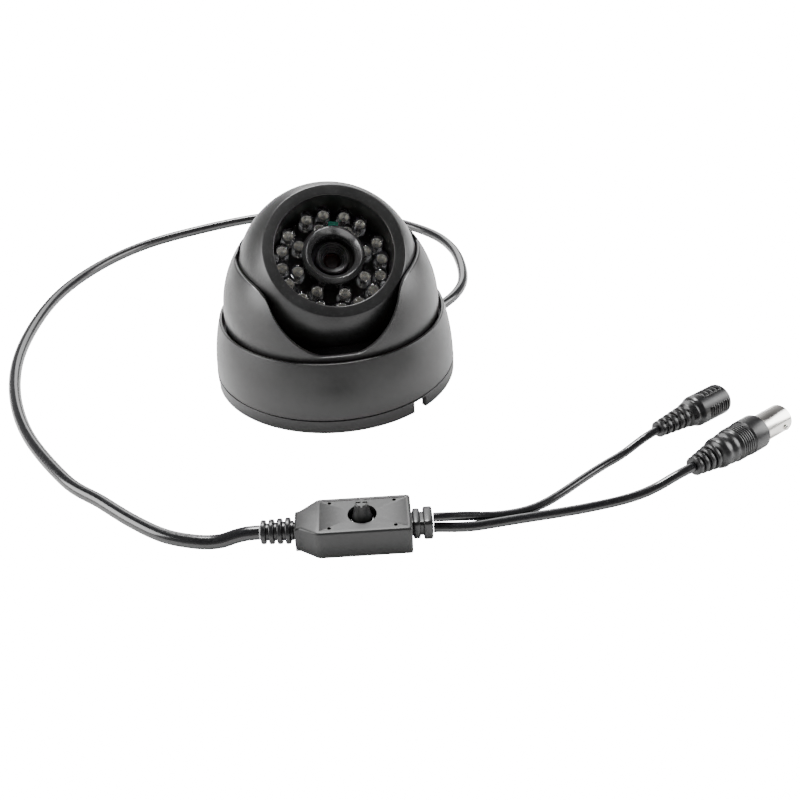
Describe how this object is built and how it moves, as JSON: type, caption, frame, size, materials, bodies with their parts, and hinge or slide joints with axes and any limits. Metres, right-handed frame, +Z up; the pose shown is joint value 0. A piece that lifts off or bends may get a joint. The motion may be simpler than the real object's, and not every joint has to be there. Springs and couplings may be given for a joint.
{
  "type": "turret dome security camera",
  "caption": "Indoor turret dome camera: turning eyeball ringed with infrared lamps, drum base, and a cable with a small menu joystick box, power socket and video plug.",
  "frame": {"origin": "centre of the base plate's underside, on the dome's vertical axis", "axes": "+Z up from the mounting surface; the turret's opening faces -Y; the cable leaves towards +X +Y"},
  "size_m": [0.2817, 0.274, 0.0751],
  "materials": {
    "abs_black": "satin moulded ABS",
    "matt_black": "matt moulded plastic",
    "pvc_black": "smooth glossy PVC",
    "board_black": "solder mask",
    "board_green": "solder mask",
    "epoxy_clear": "clear epoxy",
    "sensor_teal": "resin over a light cell",
    "lens_glass": "coated glass",
    "nickel": "bright nickel plate",
    "brass": "plated brass",
    "white_plastic": "moulded nylon",
    "steel": "zinc plated"
  },
  "bodies": {
    "base": {"base_plate": "abs_black", "retainer_ring": "matt_black", "retainer_screw_1": "steel", "retainer_screw_2": "steel", "retainer_screw_3": "steel", "cable_grommet": "pvc_black", "inner_cable": "pvc_black", "main_cable": "pvc_black", "dc_lead": "pvc_black", "bnc_lead": "pvc_black", "cable_relief": "pvc_black", "lead_relief": "pvc_black", "box_housing": "abs_black", "box_cover": "abs_black", "box_board": "board_green", "joystick_switch": "steel", "dc_boot": "pvc_black", "dc_pin": "nickel", "bnc_boot": "pvc_black", "bnc_barrel": "nickel", "bnc_contact": "brass"},
    "cover": {"drum_cover": "abs_black"},
    "turret": {"turret_shell": "abs_black", "seat_ring": "matt_black"},
    "ball": {"eyeball_rear": "abs_black"},
    "head": {"eyeball_front": "abs_black", "ir_board": "board_black", "light_sensor": "sensor_teal", "lens_holder": "matt_black", "camera_board": "board_green", "image_sensor": "board_black", "led_01": "epoxy_clear", "led_02": "epoxy_clear", "led_03": "epoxy_clear", "led_04": "epoxy_clear", "led_05": "epoxy_clear", "led_06": "epoxy_clear", "led_07": "epoxy_clear", "led_08": "epoxy_clear", "led_09": "epoxy_clear", "led_10": "epoxy_clear", "led_11": "epoxy_clear", "led_12": "epoxy_clear", "led_13": "epoxy_clear", "led_14": "epoxy_clear", "led_15": "epoxy_clear", "led_16": "epoxy_clear", "led_17": "epoxy_clear", "led_18": "epoxy_clear", "led_19": "epoxy_clear", "led_20": "epoxy_clear", "led_21": "epoxy_clear", "led_22": "epoxy_clear", "led_23": "epoxy_clear", "led_24": "epoxy_clear"},
    "lens": {"lens_barrel": "matt_black", "lens_glass": "lens_glass"},
    "cradle": {"joystick_cradle": "white_plastic"},
    "stem": {"joystick_stem": "steel"},
    "knob": {"joystick_knob": "matt_black"}
  },
  "joints": [
    {"name": "cover_twist", "type": "hinge", "parent": "base", "child": "cover", "pos_m": [0, 0, 0.015], "axis": [0, 0, 1], "range_deg": [0, 15]},
    {"name": "turret_pan", "type": "hinge", "parent": "base", "child": "turret", "pos_m": [0, 0, 0.02], "axis": [0, 0, 1], "range_deg": [-175, 175]},
    {"name": "eyeball_tilt", "type": "hinge", "parent": "turret", "child": "ball", "pos_m": [0, 0, 0.04065], "axis": [0.9934, 0.1149, 0], "range_deg": [-42.4, 37.6]},
    {"name": "eyeball_twist", "type": "hinge", "parent": "ball", "child": "head", "pos_m": [0, 0, 0.04065], "axis": [0.0775, -0.6698, 0.7385], "range_deg": [-90, 90]},
    {"name": "lens_focus", "type": "hinge", "parent": "head", "child": "lens", "pos_m": [0, 0, 0.04065], "axis": [0.0775, -0.6698, 0.7385], "range_deg": [-180, 180]},
    {"name": "joystick_rock_side", "type": "hinge", "parent": "base", "child": "cradle", "pos_m": [-0.0019, -0.10443, 0.0055], "axis": [0.9949, -0.1011, 0], "range_deg": [-8, 8], "stiffness_Nm_per_rad": 0.005},
    {"name": "joystick_rock_along", "type": "hinge", "parent": "cradle", "child": "stem", "pos_m": [-0.0019, -0.10443, 0.0055], "axis": [0.1011, 0.9949, 0], "range_deg": [-8, 8], "stiffness_Nm_per_rad": 0.005},
    {"name": "joystick_press", "type": "slide", "parent": "stem", "child": "knob", "axis": [0, 0, -1], "range_m": [0, 0.0003], "stiffness_N_per_m": 200}
  ]
}
